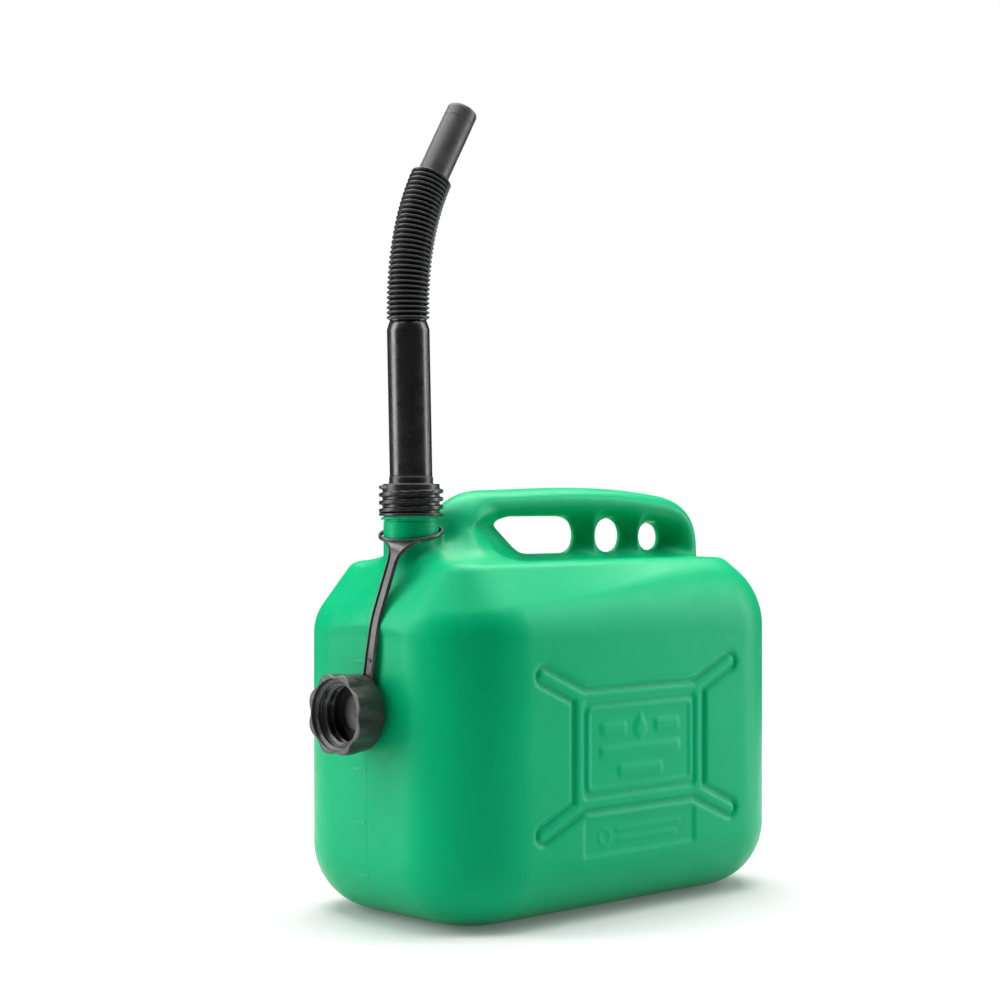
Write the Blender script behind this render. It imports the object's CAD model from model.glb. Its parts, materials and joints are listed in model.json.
"""A ten litre petrol can with a screwed-on pouring spout, and its cap on a tether."""

import json
import math

import bpy
import numpy as np
import openvdb as vdb
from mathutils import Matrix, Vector


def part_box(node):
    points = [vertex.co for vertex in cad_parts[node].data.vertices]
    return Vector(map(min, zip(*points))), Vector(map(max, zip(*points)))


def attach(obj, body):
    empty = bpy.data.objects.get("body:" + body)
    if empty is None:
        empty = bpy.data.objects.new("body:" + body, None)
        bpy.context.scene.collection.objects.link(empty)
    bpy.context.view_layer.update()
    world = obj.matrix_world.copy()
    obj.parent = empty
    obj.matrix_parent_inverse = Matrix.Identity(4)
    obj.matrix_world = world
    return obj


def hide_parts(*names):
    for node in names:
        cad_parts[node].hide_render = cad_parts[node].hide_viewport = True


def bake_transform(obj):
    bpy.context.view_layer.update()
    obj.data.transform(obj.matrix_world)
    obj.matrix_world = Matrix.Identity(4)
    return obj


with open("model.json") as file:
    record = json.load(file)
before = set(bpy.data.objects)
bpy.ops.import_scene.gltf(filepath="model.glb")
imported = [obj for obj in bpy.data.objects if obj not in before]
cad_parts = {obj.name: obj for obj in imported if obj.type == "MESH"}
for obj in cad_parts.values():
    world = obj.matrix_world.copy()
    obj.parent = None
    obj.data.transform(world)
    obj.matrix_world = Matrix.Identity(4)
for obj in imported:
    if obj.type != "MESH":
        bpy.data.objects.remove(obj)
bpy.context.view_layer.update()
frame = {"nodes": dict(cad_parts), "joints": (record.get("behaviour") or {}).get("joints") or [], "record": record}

# All shapes are worked out in millimetres and scaled to metres as meshes are made.
MM = 0.001
COARSE = 1.0
TAU = 2 * math.pi

# ---------------------------------------------------------------- places from the frame

JOINTS = {j["name"]: j for j in frame["joints"]}


def box_mm(node):
    low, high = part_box(node)
    return np.array(low) / MM, np.array(high) / MM


def joint_mm(name):
    return np.array(JOINTS[name]["pos_m"]) / MM


HALF_X = box_mm("can_body")[1][0]
HALF_Y = 90.0
NECK_X = joint_mm("spout_turn")[0]
COLLAR_Z = box_mm("spout_collar")[0][2]
RING_Z = joint_mm("ring_turn")[2]
CAP_SPIN_X, _, CAP_Z = joint_mm("cap_spin")
CAP_MOUTH_X = box_mm("cap_shell")[0][0]
CAP_BACK_X = -160.5

# ---------------------------------------------------------------- materials

# Noise scales per metre; the speckles take theirs from the grain.
BLOTCH_SCALE, SCUFF_SCALE, GLOSS_SCALE, WALL_WAVE_SCALE = 22, 120, 90, 16
SPECKLE_TO_GRAIN = 0.6


def grey(level):
    return (level, level, level)


def material(name, base, dark, rough, grain, bump, wave=0.0, spec=0.5, wear=None, patch=0.35,
             tint=None):
    """Moulded plastic: patchy colour, fine grain in roughness and bump, slow waves of the
    wall, and paler rubbed edges where wear is given."""
    m = bpy.data.materials.new(name)
    m.use_nodes = True
    nodes, link = m.node_tree.nodes, m.node_tree.links.new
    shader = nodes["Principled BSDF"]
    shader.inputs["Specular IOR Level"].default_value = spec
    if tint:
        shader.inputs["Specular Tint"].default_value = (*tint, 1)
    place = nodes.new("ShaderNodeTexCoord").outputs["Object"]

    def noise(scale, detail, roughness=0.5):
        n = nodes.new("ShaderNodeTexNoise")
        n.inputs["Scale"].default_value = scale
        n.inputs["Detail"].default_value = detail
        n.inputs["Roughness"].default_value = roughness
        link(place, n.inputs["Vector"])
        return n.outputs["Fac"]

    def spread(value, low, high, out_low=0.0, out_high=1.0):
        n = nodes.new("ShaderNodeMapRange")
        for key, v in zip(("From Min", "From Max", "To Min", "To Max"), (low, high, out_low, out_high)):
            n.inputs[key].default_value = v
        link(value, n.inputs["Value"])
        return n.outputs["Result"]

    def mix(fac, a, b):
        n = nodes.new("ShaderNodeMix")
        n.data_type = "RGBA"
        link(fac, n.inputs["Factor"])
        for value, socket in ((a, n.inputs[6]), (b, n.inputs[7])):
            if isinstance(value, tuple):
                socket.default_value = (*value, 1)
            else:
                link(value, socket)
        return n.outputs[2]

    def bumped(height, distance, strength, under=None):
        n = nodes.new("ShaderNodeBump")
        n.inputs["Strength"].default_value = strength
        n.inputs["Distance"].default_value = distance
        link(height, n.inputs["Height"])
        if under is not None:
            link(under, n.inputs["Normal"])
        return n.outputs["Normal"]

    colour = mix(spread(noise(BLOTCH_SCALE, 4), 0.35, 0.7, 0.0, patch), base, dark)
    colour = mix(spread(noise(grain * SPECKLE_TO_GRAIN, 2), 0.45, 0.75, 0.0, 0.3), colour, dark)
    if wear:
        edge = nodes.new("ShaderNodeNewGeometry").outputs["Pointiness"]
        scuff = nodes.new("ShaderNodeMath")
        scuff.operation = "MULTIPLY"
        link(spread(edge, 0.52, 0.62), scuff.inputs[0])
        link(spread(noise(SCUFF_SCALE, 3, 0.7), 0.35, 0.75), scuff.inputs[1])
        colour = mix(scuff.outputs[0], colour, wear)
    link(colour, shader.inputs["Base Color"])
    gloss = spread(noise(GLOSS_SCALE, 3, 0.65), 0.3, 0.7, rough - 0.06, rough + 0.08)
    link(gloss, shader.inputs["Roughness"])
    slow = bumped(noise(WALL_WAVE_SCALE, 1), wave, 1.0)
    link(bumped(noise(grain, 3, 0.6), bump, 0.5, slow), shader.inputs["Normal"])
    return m


GREEN = material("green_polyethylene", (0.0, 0.365, 0.145), (0.0, 0.31, 0.12), rough=0.36, grain=1500,
                 bump=0.00008, wave=0.0002, spec=0.20, wear=(0.05, 0.44, 0.25), tint=(0.25, 1.0, 0.72))
BLACK = material("black_satin", grey(0.012), grey(0.007), rough=0.33, grain=1300, bump=0.00006,
                 wave=0.0001, wear=grey(0.09))
TUBE_BLACK = material("black_tube", grey(0.009), grey(0.006), rough=0.28, grain=1000, bump=0.00005,
                      wave=0.0001, spec=0.7, patch=0.1)
FOLD_BLACK = material("black_bellows", grey(0.004), grey(0.003), rough=0.34, grain=1400, bump=0.00005,
                      wear=grey(0.05))
NOZZLE_GREY = material("grey_black_nozzle", grey(0.040), grey(0.030), rough=0.42, grain=1800,
                       bump=0.00007, wave=0.0001, wear=grey(0.10))
CAP_BLACK = material("black_cap", grey(0.030), grey(0.018), rough=0.36, grain=1600, bump=0.00012,
                     wave=0.0001, wear=grey(0.24))
STRAP_BLACK = material("black_strap", grey(0.020), grey(0.012), rough=0.33, grain=1200, bump=0.00005,
                       wave=0.0001, wear=grey(0.12))
RUBBER = material("seal_rubber", grey(0.012), grey(0.006), rough=0.6, grain=900, bump=0.0001)

# ---------------------------------------------------------------- meshes


def mesh_object(name, points, faces, finish, slot, sharp=None):
    """A mesh from points in mm and arrays of faces; each array has faces of one size."""
    loops = np.concatenate([f.ravel() for f in faces])
    sizes = np.concatenate([np.full(len(f), f.shape[1]) for f in faces])
    mesh = bpy.data.meshes.new(name)
    mesh.vertices.add(len(points))
    mesh.vertices.foreach_set("co", (points * MM).astype(np.float32).ravel())
    mesh.loops.add(len(loops))
    mesh.loops.foreach_set("vertex_index", loops.astype(np.int32))
    mesh.polygons.add(len(sizes))
    mesh.polygons.foreach_set("loop_start", (np.cumsum(sizes) - sizes).astype(np.int32))
    mesh.polygons.foreach_set("use_smooth", np.ones(len(sizes), bool))
    mesh.update(calc_edges=True)
    mesh.validate()
    if sharp:
        mesh.set_sharp_from_angle(angle=math.radians(sharp))
    mesh.materials.append(finish)
    o = bpy.data.objects.new(name, mesh)
    bpy.context.scene.collection.objects.link(o)
    return o


def skin(rows, close_rows=False, cap_ends=False):
    """Points and faces of a grid of rings; every ring is closed. The rings themselves can close
    into a loop, or the first and last can be filled."""
    n, m = rows.shape[:2]
    i = np.arange(n if close_rows else n - 1)[:, None]
    k = np.arange(m)[None, :]
    a, b = (i % n) * m, ((i + 1) % n) * m
    k2 = (k + 1) % m
    faces = [np.stack([a + k, a + k2, b + k2, b + k], -1).reshape(-1, 4)]
    if cap_ends:
        faces += [np.arange(m)[None, ::-1], (n - 1) * m + np.arange(m)[None, :]]
    return rows.reshape(-1, 3), faces


def joined(name, parts, finish, slot, sharp=None):
    """One object from several (points, faces) pairs."""
    points, faces, base = [], [], 0
    for part_points, part_faces in parts:
        points.append(part_points)
        faces += [f + base for f in part_faces]
        base += len(part_points)
    return mesh_object(name, np.concatenate(points), faces, finish, slot, sharp)


def even(profile, step):
    """A polyline resampled so that no piece is longer than step; corners stay."""
    out = [np.array(profile[0], float)]
    for a, b in zip(profile[:-1], profile[1:]):
        a, b = np.array(a, float), np.array(b, float)
        n = max(1, math.ceil(np.linalg.norm(b - a) / step))
        out += [a + (b - a) * t / n for t in range(1, n + 1)]
    return np.array(out)


def lathe(profile, sides, change=None):
    """Rings round Z from (radius, height) pairs; change gives new radii for them."""
    az = np.arange(sides) * TAU / sides
    r = np.repeat(profile[:, :1], sides, 1)
    z = np.repeat(profile[:, 1:2], sides, 1)
    if change:
        r = change(r, z, np.broadcast_to(az, r.shape))
    return np.stack([r * np.cos(az), r * np.sin(az), z], -1)


def placed(rows, origin, x_axis, z_axis):
    """Rows moved so that their own X and Z lie along the two axes."""
    x, z = np.array(x_axis, float), np.array(z_axis, float)
    return np.array(origin, float) + rows @ np.array([x, np.cross(z, x), z])


def sides_of(count):
    return int(count / COARSE)


def smooth01(t):
    t = np.clip(t, 0, 1)
    return t * t * (3 - 2 * t)


def unit(v):
    """A vector, or each row of vectors, at length one."""
    return v / np.linalg.norm(v, axis=-1, keepdims=True)


def smooth_path(points, n):
    """A smooth curve through points, with n steps between each two."""
    p = np.concatenate([points[:1], points, points[-1:]])
    t = (np.arange(n) / n)[:, None]
    out = []
    for a, b, c, d in zip(p[:-3], p[1:-2], p[2:-1], p[3:]):
        out.append(0.5 * (2 * b + (c - a) * t + (2 * a - 5 * b + 4 * c - d) * t**2
                          + (3 * b - a - 3 * c + d) * t**3))
    return np.concatenate(out + [points[-1:]])


# ---------------------------------------------------------------- the can as a distance field

# the tank's outside: bottom edge, upright corners, shoulder and roof
BASE_R = 44.0
CORNER_R = 57.0
KNEE_Z = 179.0
KNEE_FRONT_R, KNEE_REAR_R = 33.0, 50.0
KNEE_REACH = 99.0
RIM_R = 11.4
ROOF_Z = 225.7
ROOF_HALF = (122.6, 52.6)
ROOF_CORNER = 12.6
# the handle: the grip's middle line (x, z), its section, and the chamfered web round the holes
GRIP_LINE = np.array([[-92, 228], [-90, 240], [-83, 253], [-70, 260.5], [-45, 262], [15, 263.7], [60, 262.8],
                      [95, 260], [116, 256.5], [128, 249], [133, 237], [133.5, 220]], float)
GRIP_PATH = smooth_path(GRIP_LINE, 6)
GRIP_HALF_W, GRIP_HALF_H = 15.5, 10.0
WEB_HALF, LIP_HALF, LIP_SLOPE = 12.5, 1.3, 1.08
HANDLE_LOW_X, HANDLE_HIGH_X = -86, 128
SLOT_CORNERS = np.array([[13.5, 228.2], [23.0, 235.5], [23.0, 247.2], [13.5, 254.5], [-45.0, 254.5],
                         [-51.9, 248.8], [-27.9, 230.2], [-23.0, 228.2]])
SLOT_END = (13.3, 241.35, 13.1)
FINGER_HOLES = ((59.5, 240.7, 12.5), (101.5, 239.7, 10.5))
# the saddle under the neck, and the neck
SADDLE_TOP, SADDLE_HALF = 236.0, 18.5
SADDLE_REACH_X, SADDLE_REACH_Y, SADDLE_FOOT = 44, 46, 188
NECK_R, BORE_R, BORE_FLOOR = 17.55, 14.8, 150
NECK_BLEND_TOP = 243.0
# how far the moulded shapes run into each other
BLEND = 9.0


def smin(a, b, k):
    h = np.clip(0.5 + 0.5 * (b - a) / k, 0, 1)
    return b * (1 - h) + a * h - k * h * (1 - h)


def smax(a, b, k):
    return -smin(-a, -b, k)


def rrect(x, y, hx, hy, r):
    """Signed distance to a rectangle with half sizes hx and hy and round corners."""
    qx, qy = np.abs(x) - (hx - r), np.abs(y) - (hy - r)
    return np.hypot(np.maximum(qx, 0), np.maximum(qy, 0)) + np.minimum(np.maximum(qx, qy), 0) - r


def circle(x, y, at, r):
    return np.hypot(x - at[0], y - at[1]) - r


def capsule(x, y, a, b, r):
    d = np.array(b, float) - np.array(a, float)
    t = np.clip(((x - a[0]) * d[0] + (y - a[1]) * d[1]) / (d @ d), 0, 1)
    return np.hypot(x - a[0] - t * d[0], y - a[1] - t * d[1]) - r


def slope(u, v, at, normal):
    """Signed distance to the plane through at with this outward normal."""
    return (u - at[0]) * normal[0] + (v - at[1]) * normal[1]


def ellipse(u, v, a, b):
    k0 = np.hypot(u / a, v / b)
    k1 = np.hypot(u / a**2, v / b**2)
    return k0 * (k0 - 1) / np.maximum(k1, 1e-6)


def path_distance(x, z):
    """Distance in the plane y = 0 from the middle line of the grip."""
    best = np.full(x.shape, np.inf)
    for a, b in zip(GRIP_PATH[:-1], GRIP_PATH[1:]):
        best = np.minimum(best, capsule(x, z, a, b, 0.0))
    return best


def openings(x, z):
    """Signed distance in the plane y = 0 to the hand slot and the two finger holes."""
    slot = np.full(x.shape, -1e9)
    middle = SLOT_CORNERS.mean(0)
    for p, q in zip(SLOT_CORNERS, np.roll(SLOT_CORNERS, -1, 0)):
        n = unit(np.array([q[1] - p[1], p[0] - q[0]]))
        if (middle - p) @ n > 0:
            n = -n
        slot = smax(slot, slope(x, z, p, n), 3.0)
    for cx, cz, r in (SLOT_END, *FINGER_HOLES):
        slot = np.minimum(slot, circle(x, z, (cx, cz), r))
    return slot


def tank(x, y, z):
    d = rrect(x, y, HALF_X, HALF_Y, CORNER_R)
    low = z < BASE_R
    core = np.maximum(rrect(x[low], y[low], HALF_X - BASE_R, HALF_Y - BASE_R, CORNER_R - BASE_R), 0)
    d[low] = np.hypot(core, BASE_R - z[low]) - BASE_R
    high = z > KNEE_Z
    x, y, z = x[high], y[high], z[high] - KNEE_Z
    # above the knee: the knee's round, a flat that touches both rounds, and the roof's rim
    share = smooth01((x + KNEE_REACH) / (2 * KNEE_REACH))
    knee_r = KNEE_FRONT_R + (KNEE_REAR_R - KNEE_FRONT_R) * share
    knee_u = rrect(x, y, HALF_X - knee_r, HALF_Y - knee_r, CORNER_R - knee_r)
    rim_u = rrect(x, y, *ROOF_HALF, ROOF_CORNER)
    rise = ROOF_Z - RIM_R - KNEE_Z
    across = knee_u - rim_u
    turn = np.arctan2(rise, across)
    turn = turn - np.arccos(np.clip((knee_r - RIM_R) / np.hypot(across, rise), -1, 1))
    nx, nz = np.cos(turn), np.sin(turn)
    along = -knee_u * nz + z * nx
    length = -across * nz + rise * nx
    flat = knee_u * nx + z * nz - knee_r
    knee = np.hypot(np.maximum(knee_u, 0), z) - knee_r
    rim = np.hypot(np.maximum(rim_u, 0), np.maximum(z - rise, 0)) - RIM_R
    d[high] = np.where(along < 0, knee, np.where(along > length, rim, flat))
    return d


PANEL_X, PANEL_Z = -1.6, 108.0
LABEL_Z = 52.2
GROOVE_DEPTH, FRAME_DEPTH, FIELD_DEPTH, LABEL_DEPTH = 1.9, 1.3, 0.78, 1.1
MARK_HEIGHT, SIGN_HEIGHT = 0.75, 0.6


def trough(outer, inner, bank):
    """1 between an outer and an inner outline, falling to 0 over the width of its banks."""
    return smooth01(-outer / bank) * smooth01(inner / bank)


def panel_marks(x, z):
    """A drop, and bars in place of words, on the panel's field."""
    drop = smin(circle(x, z, (0, 118.5), 5.2), capsule(x, z, (0, 120), (0, 127.5), 1.0), 4.5)
    bars = rrect(np.abs(x) - 25, z - 120, 11, 3.4, 1.5)
    for height, half in ((105.5, 37), (92.5, 20)):
        bars = np.minimum(bars, rrect(x, z - height, half, 3.2, 1.5))
    return np.minimum(drop, bars)


def label_signs(x, z):
    """A ring and two lines on the label."""
    ring = np.abs(circle(x, z, (-33, 0), 5.0)) - 0.5
    lines = np.minimum(rrect(x - 8, z - 3.3, 30, 1.1, 0.5), rrect(x - 6, z + 3.3, 27, 1.1, 0.5))
    return np.minimum(ring, lines)


def panel_depth(x, z):
    """How far the broad side is pressed in: the grooves, the label's field and plain marks."""
    x = x - PANEL_X
    up = z - PANEL_Z
    u, v = np.abs(x), np.abs(up)
    outer = np.minimum(rrect(x, up, 64.1, 41.4, 2), capsule(u, v, (51, 33), (87.3, 48.8), 8.0))
    inner = np.minimum(rrect(x, up, 58.4, 35.6, 2.5), capsule(u, v, (45, 30), (88.3, 49.3), 2.5))
    depth = GROOVE_DEPTH * trough(outer, inner, 2.1)
    depth += FRAME_DEPTH * trough(rrect(x, up, 53.3, 31.5, 4.5), rrect(x, up, 48.6, 25.8, 3.5), 1.7)
    depth += FIELD_DEPTH * smooth01(-rrect(x, up, 47.8, 25.0, 3.0) / 2.0)
    depth += LABEL_DEPTH * smooth01(-rrect(x, z - LABEL_Z, 52.4, 11.7, 0.8) / 0.9)
    depth -= MARK_HEIGHT * smooth01((1.0 - panel_marks(x, z)) / 1.6)
    return depth - SIGN_HEIGHT * smooth01((0.8 - label_signs(x, z - LABEL_Z)) / 1.3)


def saddle(x, y, z):
    """The raised mount of the neck: sloping planes that run out on the roof and the end wall."""
    dx, ay = x - NECK_X, np.abs(y)
    edge = (SADDLE_HALF, SADDLE_TOP)
    front = slope(dx, z, (-SADDLE_HALF, SADDLE_TOP), (-0.941, 0.339))
    slant = -0.702 * dx + slope(ay, z, edge, (0.433, 0.565))
    side = slope(ay, z, edge, (0.4, 0.917))
    d = smax(smax(smax(front, slant, BLEND), side, BLEND), z - SADDLE_TOP, 4.0)
    bounds = np.maximum(ay - SADDLE_REACH_Y, SADDLE_FOOT - z)
    bounds = np.maximum(bounds, np.maximum(-HALF_X + 0.8 - x, dx - SADDLE_REACH_X))
    return np.maximum(d, bounds)


def superstructure(x, y, z):
    """Handle, its front root, and the saddle under the neck."""
    ay = np.abs(y)
    gap = openings(x, z)
    flare = ((ay - LIP_HALF) * LIP_SLOPE - gap) / math.hypot(1, LIP_SLOPE)
    # the grip's middle line up to its rear foot, which drops almost straight down
    upper = GRIP_PATH[(GRIP_PATH[:, 1] > 238) | (GRIP_PATH[:, 0] < 0)]
    reach = np.maximum(z - np.interp(x, *upper.T), np.maximum(x - HANDLE_HIGH_X, HANDLE_LOW_X - x))
    grip = ellipse(path_distance(x, z), ay, GRIP_HALF_H, GRIP_HALF_W)
    web = np.maximum(smax(ay - WEB_HALF, flare, 3.0), reach)
    handle = smax(smin(grip, web, 4.0), -gap, 1.0)
    root = smax(slope(ay, z, (39, ROOF_Z), (0.829, 0.559)), slope(x, z, (-28, 226), (0.679, 0.734)), 14.0)
    root = smax(root, slope(x, z, (-94, 246), (-0.852, 0.524)), 14.0)
    root = smax(root, z - 263.0, 10.0)
    root = smax(root, flare, 3.0)
    handle = smin(handle, root, 7.0)
    neck = np.maximum(circle(x, y, (NECK_X, 0), NECK_R), z - NECK_BLEND_TOP)
    return smin(handle, smin(saddle(x, y, z), neck, 3.0), BLEND)


def can_field(p):
    """Signed distance to the outside of the tank with its handle, neck and bore."""
    x, y, z = p[:, 0], p[:, 1], p[:, 2]
    d = tank(x, y, z)
    broad = (np.abs(y) > 60) & (z > 35) & (z < 175)
    d[broad] += panel_depth(-np.sign(y[broad]) * x[broad], z[broad])
    up = z > 178
    d[up] = smin(d[up], superstructure(x[up], y[up], z[up]), BLEND)
    bore = circle(x, y, (NECK_X, 0), BORE_R)
    return np.maximum(d, -np.maximum(bore, BORE_FLOOR - z))


def in_chunks(f, p, size=400000):
    return np.concatenate([f(p[i:i + size]) for i in range(0, len(p), size)])


def axis_points(spans):
    """Places along an axis from (low, high, step) spans."""
    out = [spans[0][0]]
    for low, high, step in spans:
        n = max(1, round((high - low) / (step * COARSE)))
        out += list(np.linspace(low, high, n + 1)[1:])
    return np.array(out)


def block_mesh(field, axes, block=4, band=3.0):
    """Triangles and quads of the zero level on an uneven grid, computed only in the blocks that
    the surface can reach. The field is clipped to the band."""
    axes = [np.append(a, a[-1] + np.arange(1, (-len(a)) % block + 1) * 2.0) for a in axes]
    grid = np.stack(np.meshgrid(*(a[block // 2::block] for a in axes), indexing="ij"), -1)
    coarse = in_chunks(field, grid.reshape(-1, 3)).reshape([len(a) // block for a in axes])
    spans = [np.add.reduceat(np.diff(np.append(a, a[-1])), np.arange(0, len(a), block)) for a in axes]
    reach = np.sqrt(sum(s.reshape([-1 if i == j else 1 for j in range(3)])**2 for i, s in enumerate(spans)))

    def blown_up(a):
        return np.repeat(np.repeat(np.repeat(a, block, 0), block, 1), block, 2)

    values = blown_up(np.sign(coarse) * band)
    near = blown_up(np.abs(coarse) < 0.62 * reach + 2.5)
    ijk = np.argwhere(near)
    points = np.stack([axes[k][ijk[:, k]] for k in range(3)], -1)
    values[near] = np.clip(in_chunks(field, points), -band, band)
    volume = vdb.FloatGrid(band)
    volume.copyFromArray(values.astype(np.float32))
    found, triangles, quads = volume.convertToPolygons(isovalue=0.0, adaptivity=0.0)
    found = np.asarray(found, float)
    p = np.stack([np.interp(found[:, k], np.arange(len(axes[k])), axes[k]) for k in range(3)], -1)
    return p, np.asarray(triangles, int).reshape(-1, 3), np.asarray(quads, int).reshape(-1, 4)


def gradient(field, p, d, h=0.05):
    g = np.stack([in_chunks(field, p + h * np.eye(3)[k]) - d for k in range(3)], -1) / h
    return g / np.maximum(np.linalg.norm(g, axis=1, keepdims=True), 1e-6)


def make_can():
    # fine steps at the panels, the handle and the neck, coarser ones elsewhere
    x_axis = axis_points([(-160, -94, 2.2), (-94, 94, 1.64), (94, 161, 2.6)])
    y_axis = axis_points([(-93.6, -84, 1.5), (-84, -24, 3.6), (-24, 24, 1.5), (24, 84, 3.6), (84, 93.6, 1.5)])
    z_axis = axis_points([(-3, 30, 3.0), (30, 172, 1.64), (172, 222, 2.4), (222, 276, 1.7)])
    points, triangles, quads = block_mesh(can_field, [x_axis, y_axis, z_axis])
    for _ in range(2):
        d = in_chunks(can_field, points)
        points = points - np.clip(d, -0.8, 0.8)[:, None] * gradient(can_field, points, d)
    points[:, 2] = np.maximum(points[:, 2], 0.0)
    a, b, c = (points[quads[:, k]] for k in (0, 1, 2))
    inside = [0, 0, 110]
    if np.einsum("ij,ij->i", np.cross(b - a, c - a), (a + b + c) / 3 - inside).sum() < 0:
        quads, triangles = quads[:, ::-1], triangles[:, ::-1]
    faces = [f for f in (quads, triangles) if len(f)]
    o = mesh_object("can_body_moulding", points, faces, GREEN, "green_plastic")
    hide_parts("can_body")
    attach(o, "can")


make_can()

# ---------------------------------------------------------------- neck and its thread

PITCH = 5.0
THREAD_Z, THREAD_AZ = 253.4, 136.65


def thread_height(az):
    """Height of the middle of the neck's ridge, for an angle in degrees on its first turn."""
    return THREAD_Z + PITCH * (az - THREAD_AZ) / 360


def helix(z, az, az0, turns, crest_half, foot_half, fade=0.08):
    """1 on the crest of a right-hand ridge and 0 off it, for angles in radians. It starts at
    az0 degrees and fades out at both ends."""
    deg = (np.degrees(az) - az0) % 360
    n = (z - thread_height(az0 + deg)) / PITCH
    best = np.zeros(z.shape)
    for k in (np.floor(n), np.ceil(n)):
        turn = deg / 360 + k
        off = np.abs(n - k) * PITCH
        live = smooth01(turn / fade) * smooth01((turns - turn) / fade)
        best = np.maximum(best, live * smooth01((foot_half - off) / (foot_half - crest_half)))
    return best


def make_neck():
    top, ridge_height = 272.4, 2.3
    outer = even([(17.45, 240.5), (17.6, 241), (17.55, 251.2), (17.0, 251.7), (17.0, top - 0.6),
                  (16.4, top), (BORE_R, top)], 0.42)
    inner = even([(BORE_R, 271.5), (BORE_R, 240.5)], 6)

    def threaded(r, z, az):
        ridge = helix(z, az, 110, 3.4, 0.55, 1.3)
        return r + np.where((r > 16.9) & (z < 272), ridge_height * ridge, 0)

    rows = np.concatenate([lathe(outer, sides_of(180), threaded), lathe(inner, sides_of(180))])
    rows = rows + [NECK_X, 0, 0]
    o = mesh_object("neck_thread", *skin(rows, close_rows=True), GREEN, "green_plastic", sharp=50)
    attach(o, "can")


make_neck()


def seam_strip(path, normals, width=0.4, height=0.12):
    """A low flat ridge along a path in the plane y = 0, with its foot inside the wall."""
    rows = np.zeros((len(path), 4, 3))
    for k, (side, lift) in enumerate(((-1, -0.5), (-0.3, height), (0.3, height), (1, -0.5))):
        rows[:, k, 0] = path[:, 0] + normals[:, 0] * lift
        rows[:, k, 1] = side * width
        rows[:, k, 2] = np.maximum(path[:, 1] + normals[:, 1] * lift, 0.02)
    return skin(rows, cap_ends=True)


def path_normals(path):
    t = np.gradient(path, axis=0)
    return unit(np.stack([-t[:, 1], t[:, 0]], -1))


def tank_outline():
    """The tank's and the saddle's outline in the middle plane, and the ways out from its centre."""
    angle = np.radians(np.arange(-174.0, 174.1, 1.5))
    outward = np.stack([np.sin(angle), -np.cos(angle)], -1)
    centre = np.array([0.0, 112.0])
    low, high = np.full(len(angle), 60.0), np.full(len(angle), 230.0)
    for _ in range(34):
        middle = (low + high) / 2
        x, z = (centre + outward * middle[:, None]).T
        y = np.full(len(x), 0.01)
        inside = smin(tank(x, y, z), saddle(x, y, z), BLEND) < 0
        low, high = np.where(inside, middle, low), np.where(inside, high, middle)
    return centre + outward * low[:, None], outward


def make_seam():
    """The raised parting line of the blow mould, round the middle plane of the tank and grip."""
    loop, outward = tank_outline()
    normals = path_normals(loop)
    normals *= np.sign((normals * outward).sum(1))[:, None]
    grip = GRIP_PATH[14:-8]
    grip_normals = path_normals(grip)
    grip_top = grip + grip_normals * GRIP_HALF_H
    o = joined("parting_line", [seam_strip(loop, normals), seam_strip(grip_top, grip_normals)],
               GREEN, "green_plastic")
    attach(o, "can")


make_seam()


def make_level_marks():
    """Raised ticks on the end wall, one for every two litres."""
    step, below, half = 33.4, 3.0, 0.85
    parts = []
    for i in range(1, 6):
        z = i * step - below
        end = -(HALF_X - BASE_R + math.sqrt(BASE_R**2 - max(0.0, BASE_R - z)**2))
        length = 8.3 + i
        outline = np.array([(0.0, 0.6), (0.25, half), (length - 0.3, half), (length, 0.5), (length, -0.5),
                            (length - 0.3, -half), (0.25, -half), (0.0, -0.6)])
        middle = outline.mean(0)
        rows = []
        for depth, grow in ((1.0, 1.0), (-0.1, 1.0), (-0.2, 0.75)):
            shape = middle + (outline - middle) * [1, grow]
            rows.append(np.stack([np.full(len(shape), end + depth), 0.6 + shape[:, 0], z + shape[:, 1]], -1))
        parts.append(skin(np.array(rows), cap_ends=True))
    o = joined("level_marks", parts, GREEN, "green_plastic", sharp=40)
    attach(o, "can")


make_level_marks()

# ---------------------------------------------------------------- collar and tube

TUBE_R, TUBE_Z, CONE_START = 13.55, 279.5, 94.4
LEAN = np.array([math.sin(math.radians(-1.5)), 0.0, math.cos(math.radians(-1.5))])
COLLAR_R = 18.15


def make_collar():
    def rib(z, az):
        return helix(z, az, 380, 3.42, 1.0, 1.75, fade=0.06)

    def ribbed(r, z, az):
        return np.where((z > 256) & (z < 274.5) & (r > 15), np.maximum(r, COLLAR_R + 2.25 * rib(z, az)), r)

    def grooved(r, z, az):
        return np.where((z > 256.5) & (z < 273.5) & (r > 17), r + 2.1 * rib(z, az), r)

    low = COLLAR_Z
    bead = [(19.2, low), (20.1, low + 0.15), (20.4, low + 0.5), (20.4, low + 1.6), (20.0, low + 1.95)]
    wall = [(COLLAR_R, low + 2.3), (COLLAR_R, 274.9), (17.9, 275.3), (17.4, 275.5), (14.5, 275.6)]
    socket = [(14.05, 275.9), (14.0, 276.3), (14.0, 279.6), (13.7, 280.0), (13.0, 280.1)]
    outer = even(bead + wall + socket, 0.3)
    inner = even([(12.3, 280.0), (12.3, 274.0), (17.3, 273.9), (17.4, low + 1.0)], 0.45)
    rows = np.concatenate([lathe(outer, sides_of(168), ribbed), lathe(inner, sides_of(168), grooved)])
    rows = rows + [NECK_X, 0, 0]
    o = mesh_object("collar_ribbed", *skin(rows, close_rows=True), BLACK, "black_plastic", sharp=55)
    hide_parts("spout_collar")
    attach(o, "spout")


make_collar()


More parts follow.
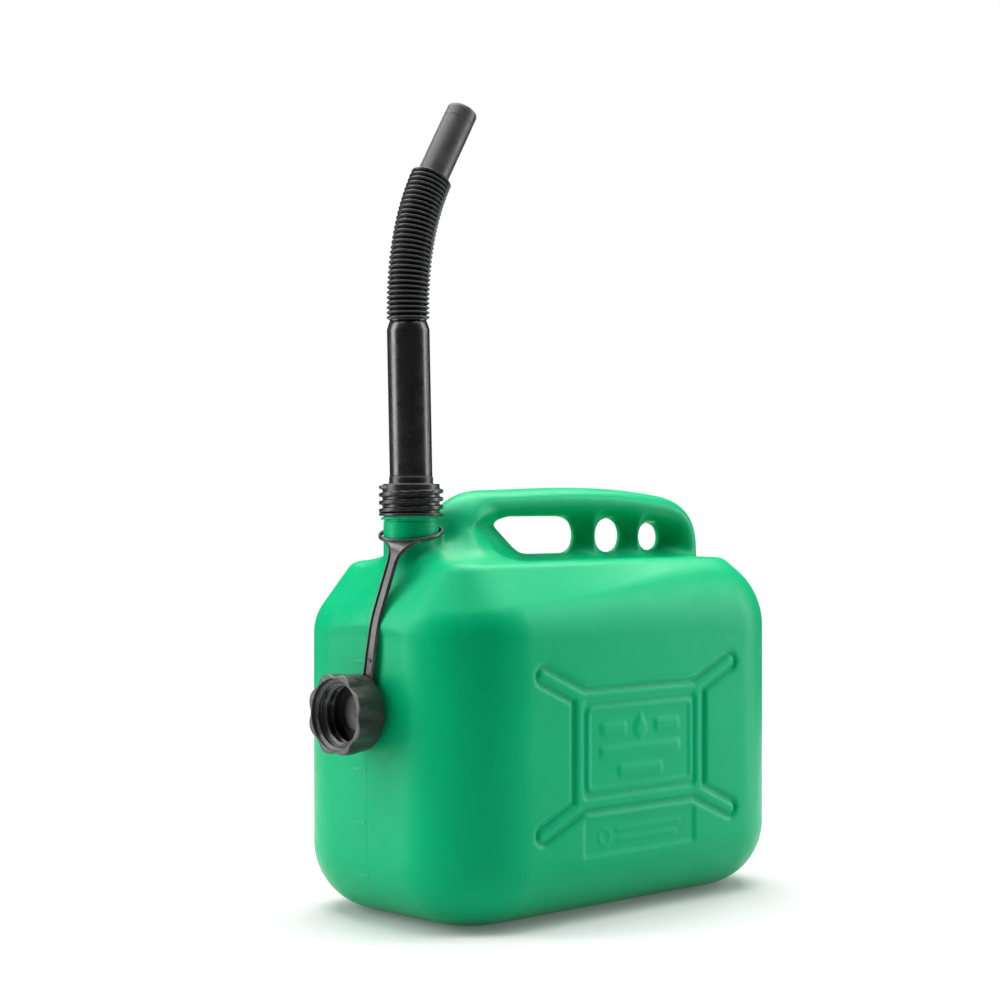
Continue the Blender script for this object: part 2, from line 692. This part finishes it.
def make_tube():
    """The straight tube, with the mould's flash line on two sides and a coned top end."""
    flash = (math.atan2(-0.94, 0.34), math.atan2(0.94, -0.34))

    def flashed(r, z, az):
        out = np.zeros(r.shape)
        for a in flash:
            off = np.abs((az - a + math.pi) % TAU - math.pi) * TUBE_R
            out = np.maximum(out, smooth01((0.75 - off) / 0.45) + 0.45 * smooth01((1.9 - off) / 0.5))
        live = smooth01((z - 1.5) / 1.5) * smooth01((CONE_START - 0.2 - z) / 1.0)
        return np.where(r > 13.3, r + 0.3 * out * live, r)

    outer = even([(13.45, 0.4), (TUBE_R, 0.8), (TUBE_R, CONE_START - 0.8), (13.4, CONE_START), (12.05, 98.7),
                  (11.7, 98.95)], 2.5)
    inner = even([(10.8, 98.9), (12.3, 93), (12.3, 0.4)], 8)
    rows = np.concatenate([lathe(outer, sides_of(360), flashed), lathe(inner, sides_of(360))])
    across = np.array([LEAN[2], 0, -LEAN[0]])
    rows = placed(rows, (NECK_X, 0, TUBE_Z), across, LEAN)
    o = mesh_object("spout_tube_walls", *skin(rows, close_rows=True), TUBE_BLACK, "black_plastic", sharp=40)
    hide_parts("spout_tube")
    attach(o, "spout")


make_tube()

# ---------------------------------------------------------------- bellows and nozzle

SECTIONS = 10
CREST_R, ROOT_R, BELLOWS_BORE_R = 13.62, 11.5, 9.9
FOLD = 3.1
SECTION = 3 * FOLD
LENGTH = SECTIONS * SECTION
BENDS = ["bend_%02d" % i for i in range(1, SECTIONS + 2)]

# the middle line: its lean at the middle of each section, and points along it at small steps
PIVOTS = np.array([joint_mm(n)[[0, 2]] for n in BENDS])
TIP_AXIS = next(np.array(m["axis"]) for m in frame["record"]["mounts"] if m["name"] == "nozzle_outside")
chords = np.diff(PIVOTS, axis=0)
LEANS = np.concatenate([[math.atan2(LEAN[0], LEAN[2])], np.arctan2(chords[:, 0], chords[:, 1]),
                        [math.atan2(TIP_AXIS[0], TIP_AXIS[2])]])
MIDDLES = SECTION * (np.arange(len(LEANS)) - 0.5)
RUN_STEP, RUN_SPARE = 0.05, 12
RUN = np.arange(-RUN_SPARE, LENGTH + RUN_SPARE, RUN_STEP)
RUN_LEAN = np.interp(RUN, MIDDLES, LEANS)
RUN_AT = np.cumsum(np.stack([np.sin(RUN_LEAN), np.cos(RUN_LEAN)], -1) * RUN_STEP, 0)
RUN_AT += PIVOTS[0] - RUN_AT[np.searchsorted(RUN, 0.0)]
drift = PIVOTS[-1] - RUN_AT[np.searchsorted(RUN, LENGTH)]
RUN_AT += np.clip(RUN / LENGTH, 0, 1)[:, None] * drift


def chain_rings(s, r, sides):
    """Rings of radius r at distances s along the bellows' middle line."""
    az = np.arange(sides) * TAU / sides
    lean = np.interp(s, RUN, RUN_LEAN)
    x, z = np.interp(s, RUN, RUN_AT[:, 0]), np.interp(s, RUN, RUN_AT[:, 1])
    across = np.stack([np.cos(lean), 0 * lean, -np.sin(lean)], -1)
    centre = np.stack([x, 0 * x, z], -1)
    ring = np.cos(az)[None, :, None] * across[:, None] + np.sin(az)[None, :, None] * np.array([0, 1.0, 0])
    return centre[:, None] + ring * r[:, None, None]


def fold_radius(s):
    """The pleats' outside, with a plain start and a bead and a socket at the nozzle's end."""
    phase = (s / FOLD) % 1.0 - 0.5
    wave = (0.5 + 0.5 * np.cos(TAU * phase)) ** 0.62
    r = ROOT_R + (CREST_R - ROOT_R) * wave
    r = np.where(s < 0.3, 11.75, r)
    bead = np.interp(s - LENGTH, [0, 0.9, 1.7, 2.1, 3.3], [ROOT_R, 13.3, 13.6, 13.2, 10.25])
    return np.where(s > LENGTH, bead, r)


def blend_at_hinge(o):
    """The pleats near hinge p bend smoothly from the body below it to the body above it."""
    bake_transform(o)


def make_bellows():
    sides = sides_of(112)
    for p in range(len(BENDS)):
        low = -0.6 if p == 0 else (p - 1) * SECTION + FOLD
        high = LENGTH + 3.3 if p == SECTIONS else p * SECTION + FOLD
        s = np.linspace(low, high, max(8, int(round((high - low) / (0.21 * COARSE)))))
        back = s[::6][::-1]
        rows = np.concatenate([chain_rings(s, fold_radius(s), sides),
                               chain_rings(back, np.full(len(back), BELLOWS_BORE_R), sides)])
        o = mesh_object("bellows_folds_%02d" % (p + 1), *skin(rows, close_rows=True), FOLD_BLACK,
                        "bellows_plastic", sharp=70)
        if p < SECTIONS:
            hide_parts("bellows_%02d" % (p + 1))
        blend_at_hinge(o)


make_bellows()


def make_nozzle():
    r, top = 10.15, 56.0
    pipe = [(9.9, 1.2), (r, 1.8), (r, top - 9.3), (r - 0.28, top - 9.0), (r - 0.28, top - 8.8)]
    tip = [(r - 0.08, top - 8.5), (r - 0.08, top - 0.9), (r - 0.35, top - 0.25), (r - 0.8, top), (9.1, top)]
    outer = even(pipe + tip, 2.0)
    inner = even([(8.85, top - 0.3), (8.8, 1.2)], 6.0)
    rows = np.concatenate([lathe(outer, sides_of(120)), lathe(inner, sides_of(120))])
    axis = np.array([math.sin(LEANS[-1]), 0, math.cos(LEANS[-1])])
    rows = placed(rows, (PIVOTS[-1][0], 0, PIVOTS[-1][1]), (axis[2], 0, -axis[0]), axis)
    o = mesh_object("nozzle_pipe", *skin(rows, close_rows=True), NOZZLE_GREY, "nozzle_plastic", sharp=28)
    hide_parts("spout_nozzle")
    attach(o, "nozzle")


make_nozzle()

# ---------------------------------------------------------------- ring, strap and cap

RING_R_IN, RING_R_OUT, RING_HALF = 19.0, 20.8, 1.3
TILT = math.radians(14)
STRAP_AZ = math.radians(210)


def ring_point(az, r, h=0.0):
    """A point of the hanging ring; az is measured from the strap's side."""
    x, y = r * np.cos(az), r * np.sin(az)
    x, z = x * math.cos(TILT) + h * math.sin(TILT), -x * math.sin(TILT) + h * math.cos(TILT)
    c, s = math.cos(STRAP_AZ), math.sin(STRAP_AZ)
    return np.stack(np.broadcast_arrays(NECK_X + c * x - s * y, s * x + c * y, RING_Z + z), -1)


def make_ring():
    e = 0.35
    outline = [(RING_R_IN, -RING_HALF + e), (RING_R_IN + e, -RING_HALF), (RING_R_OUT - e, -RING_HALF),
               (RING_R_OUT, -RING_HALF + e), (RING_R_OUT, RING_HALF - e), (RING_R_OUT - e, RING_HALF),
               (RING_R_IN + e, RING_HALF), (RING_R_IN, RING_HALF - e)]
    az = np.arange(sides_of(160)) * TAU / sides_of(160)
    rows = np.array([ring_point(az, r, h) for r, h in outline])
    o = mesh_object("tether_ring_band", *skin(rows, close_rows=True), STRAP_BLACK, "tether_plastic", sharp=50)
    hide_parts("tether_ring")
    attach(o, "ring")


make_ring()

STRAP_ROUTE = np.array([[-146, -12.6, 226], [-152, -11.6, 208], [-157, -10, 190], [-159, -8.2, 172],
                        [-159.2, -5.6, 157], [-159.2, -2.6, 146]], float)
STRAP_HALF = 4.3
FIN_AZ = 38.0
FIN_STEPS = 12
FIN_R = RING_R_OUT - 0.4
RIM_W = 1.15
STRAP_UNDER = -0.75
EYELET_R = 4.42


def fin_edge(ring_az, edge):
    """One edge of the strap, led on in a curve from its upper end to the ring."""
    start = ring_point(math.radians(ring_az), FIN_R)
    target = edge[0]
    pull = target - unit(edge[1] - target) * 9.0
    u = np.linspace(0, 1, FIN_STEPS + 1)[:-1, None]
    return np.concatenate([(1 - u) ** 2 * start + 2 * u * (1 - u) * pull + u**2 * target, edge])


def strap_edges():
    """The strap's two edges, from the ring down to the eyelet; the first has the lower y."""
    middle = smooth_path(STRAP_ROUTE, 10)
    t = unit(np.gradient(middle, axis=0))
    side = np.cross(t, [1.0, 0, 0])
    side = unit(side - (side * t).sum(1)[:, None] * t) * STRAP_HALF
    edges = sorted((middle - side, middle + side), key=lambda e: e[0][1])
    az = sorted((FIN_AZ, -FIN_AZ), key=lambda a: ring_point(math.radians(a), 20)[1])
    return [fin_edge(a, e) for a, e in zip(az, edges)]


def strap_section(a, b, out, bow):
    """A channel from a to b with raised rims, bowed outwards by bow at its middle."""
    width = np.linalg.norm(b - a)
    s = (b - a) / width
    rim = [(0, 0.5), (RIM_W * 0.6, 1.45), (RIM_W, 1.45), (RIM_W + 0.35, 0.45)]
    face = rim + [(width / 2, 0.45)] + [(width - w, h) for w, h in reversed(rim)]
    under = [(w, STRAP_UNDER) for w in (width, width / 2, 0)]
    return [a + s * w + out * (h + bow * (1 - (2 * w / width - 1) ** 2)) for w, h in face + under]


def strap_rows():
    left, right = strap_edges()
    ring_middle = ring_point(0.0, FIN_R)
    last = len(left) - 1
    rows = []
    for i, (a, b) in enumerate(zip(left, right)):
        before, after = max(i - 1, 0), min(i + 1, last)
        out = unit(np.cross(b - a, left[after] + right[after] - left[before] - right[before]))
        if out[0] > 0:
            out = -out
        bow = 0.0
        if i < FIN_STEPS:
            full = (ring_middle - (left[0] + right[0]) / 2) @ out
            bow = max(0.0, full) * (1 - i / FIN_STEPS) ** 1.5
        rows.append(strap_section(a, b, out, bow))
    return np.array(rows)


def strap_pip(rows):
    """The small round pip on the strap's face."""
    face, under = 4, 10
    at = int(np.argmin(np.abs(rows[:, face, 2] - 165)))
    axis = unit(rows[at, face] - rows[at, under])
    side = rows[at + 1, face] - rows[at, face]
    side = unit(side - (side @ axis) * axis)
    pip = lathe(even([(1.35, -0.4), (1.35, 0.35), (1.1, 0.55), (0.6, 0.5), (0.05, 0.35)], 0.5), 20)
    return skin(placed(pip, rows[at, face], side, axis), cap_ends=True)


def strap_eyelet():
    """The disc at the strap's end, with a hole for the cap's button."""
    profile = [(EYELET_R, -0.8), (14.5, -0.8), (15.0, -0.4), (15.0, 0.4), (14.5, 0.8), (EYELET_R, 0.8)]
    disc = lathe(even(profile, 1.2), 72)
    return skin(placed(disc, (CAP_SPIN_X + 2.8, 0, CAP_Z), (0, 0, 1), (-1, 0, 0)), close_rows=True)


def make_strap():
    """A channel with raised rims that flares to a fin at the ring and ends in an eyelet."""
    rows = strap_rows()
    parts = [skin(rows, cap_ends=True), strap_pip(rows), strap_eyelet()]
    o = joined("tether_strap_channel", parts, STRAP_BLACK, "tether_plastic", sharp=38)
    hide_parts("tether_strap")
    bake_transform(o)


make_strap()

LOBES = 8
LOBE_AZ = math.radians(22.5)
LOBE_CENTRE_R, LOBE_R, VALLEY_R, CAP_R = 17, 9, 23.5, 24.1
CAP_BORE_R, CAP_RIDGE = 19.8, 2.3
CAP_DEPTH = CAP_BACK_X - CAP_MOUTH_X


def cap_profile():
    """(radius, distance from the closed end), round the outside, the mouth and the inside."""
    d = CAP_DEPTH
    outside = [(0.05, 0), (22.2, 0), (23.3, 0.35), (24.0, 1.2), (CAP_R, 2.2), (24.05, d - 0.5)]
    mouth = [(23.8, d - 0.1), (23.4, d), (22.5, d), (22.2, d - 0.4), (21.9, d - 4.6), (21.5, d - 5.2)]
    step = [(20.4, d - 5.5), (CAP_BORE_R, d - 6.1), (CAP_BORE_R, 3.0), (CAP_BORE_R - 0.4, 2.4)]
    seat = [(18.9, 2.2), (12.2, 2.2), (11.9, 2.5), (11.7, 3.6), (11.2, 3.9), (3.0, 3.5), (2.6, 3.9)]
    return even(outside + mouth + step + seat + [(0.05, 4.0)], 0.45)


def lobed(r, t, az):
    """The outside as eight round lobes that grow out of the round closed end."""
    pitch = TAU / LOBES
    off = (az - LOBE_AZ + pitch / 2) % pitch - pitch / 2
    under_root = np.maximum(LOBE_R**2 - (LOBE_CENTRE_R * np.sin(off)) ** 2, 1)
    tip = LOBE_CENTRE_R * np.cos(off) + np.sqrt(under_root)
    lobe = smax(tip, np.full(r.shape, VALLEY_R), 0.7) - CAP_R
    grown = r + np.minimum(lobe, 1.9) * smooth01((t - 3.0) / 13.0)
    return np.where((r > 23.2) | ((r > 22.9) & (t > CAP_DEPTH - 0.05)), grown, r)


def cap_thread(t, az):
    """1 on the crest of the cap's inner ridge and 0 off it."""
    n = (t - 6.5 - PITCH * (az / TAU)) / PITCH
    ridge = np.zeros(t.shape)
    for k in (np.floor(n), np.ceil(n)):
        turn = az / TAU + k
        live = smooth01(turn / 0.1) * smooth01((2.6 - turn) / 0.1)
        ridge = np.maximum(ridge, live * smooth01((1.5 - np.abs(n - k) * PITCH) / 0.9))
    return ridge


def make_cap():
    """The screw cap: eight lobes at the mouth that fade into a round closed end."""
    profile = cap_profile()
    mouth_row = np.argmax(profile[:, 1] >= CAP_DEPTH - 1e-6)

    def shaped(r, t, az):
        r = lobed(r, t, az)
        past_mouth = np.arange(len(r))[:, None] > mouth_row + 4
        bore = past_mouth & (t > 4.5) & (t < CAP_DEPTH - 1.5) & (r > 19)
        return np.where(bore, r - CAP_RIDGE * cap_thread(t, az), r)

    button = even([(0.05, -3.4), (5.9, -3.4), (6.5, -3.1), (6.5, -2.7), (6.1, -2.45), (4.35, -2.4),
                   (4.35, 0.4)], 0.6)
    parts = []
    for rows in (lathe(profile, sides_of(240), shaped), lathe(button, 48)):
        parts.append(skin(placed(rows, (CAP_BACK_X, 0, CAP_Z), (0, 0, 1), (-1, 0, 0)), cap_ends=True))
    o = joined("cap_lobed", parts, CAP_BLACK, "cap_plastic", sharp=42)
    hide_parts("cap_shell")
    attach(o, "cap")


make_cap()


def finish_seals():
    """The two seals keep their CAD meshes and get a rubber."""
    for node in ("cap_seal", "spout_seal"):
        seal = frame["nodes"][node]
        seal.data.materials.clear()
        seal.data.materials.append(RUBBER)
        for polygon in seal.data.polygons:
            polygon.material_index = 0


finish_seals()

# ---------------------------------------------------------------- floor, light and camera


def make_floor(radius=1.05, sides=96):
    mesh = bpy.data.meshes.new("floor")
    edge = [(radius * math.cos(TAU * k / sides), radius * math.sin(TAU * k / sides), 0) for k in range(sides)]
    mesh.from_pydata(edge, [], [tuple(range(sides))])
    o = bpy.data.objects.new("floor", mesh)
    bpy.context.scene.collection.objects.link(o)
    m = bpy.data.materials.new("pale_floor")
    m.use_nodes = True
    shader = m.node_tree.nodes["Principled BSDF"]
    shader.inputs["Base Color"].default_value = (0.62, 0.624, 0.624, 1)
    shader.inputs["Roughness"].default_value = 0.35
    shader.inputs["Specular IOR Level"].default_value = 0.12
    shader.inputs["Emission Color"].default_value = (1, 1, 1, 1)
    shader.inputs["Emission Strength"].default_value = 0.09
    mesh.materials.append(m)


def area_light(name, place, target, size, power):
    data = bpy.data.lights.new(name, "AREA")
    data.shape = "RECTANGLE"
    data.size, data.size_y = size
    data.energy = power
    o = bpy.data.objects.new(name, data)
    o.location = place
    o.rotation_euler = (Vector(target) - Vector(place)).to_track_quat("-Z", "Y").to_euler()
    bpy.context.scene.collection.objects.link(o)


def make_world(strength, seen):
    """A white studio that lights with one strength and shows to the camera with another."""
    world = bpy.data.worlds.new("studio")
    world.use_nodes = True
    bpy.context.scene.world = world
    nodes, link = world.node_tree.nodes, world.node_tree.links.new
    background = nodes["Background"]
    background.inputs["Color"].default_value = (1, 1, 1, 1)
    path = nodes.new("ShaderNodeLightPath")
    level = nodes.new("ShaderNodeMapRange")
    level.inputs["To Min"].default_value = strength
    level.inputs["To Max"].default_value = seen
    link(path.outputs["Is Camera Ray"], level.inputs["Value"])
    link(level.outputs["Result"], background.inputs["Strength"])


def make_camera():
    """The camera that was fitted to the photo."""
    camera = bpy.data.objects.new("camera", bpy.data.cameras.new("camera"))
    camera.data.lens = 75.53
    camera.data.sensor_width = 36.0
    camera.location = (-0.9940, -1.0089, 0.2634)
    camera.rotation_euler = (math.radians(90.08), 0, math.radians(-43.35))
    bpy.context.scene.collection.objects.link(camera)
    bpy.context.scene.camera = camera


make_floor()
make_world(0.04, 1.0)
area_light("left_box", (-1.60, 1.30, 0.95), (-0.12, 0, 0.15), (1.0, 2.2), 50)
area_light("right_box", (1.75, -1.05, 0.95), (0.05, 0, 0.12), (0.9, 2.2), 36)
area_light("top_box", (0.25, 0.35, 2.15), (0, 0, 0.1), (2.6, 2.6), 138)
bpy.context.scene.view_settings.view_transform = "Standard"
make_camera()
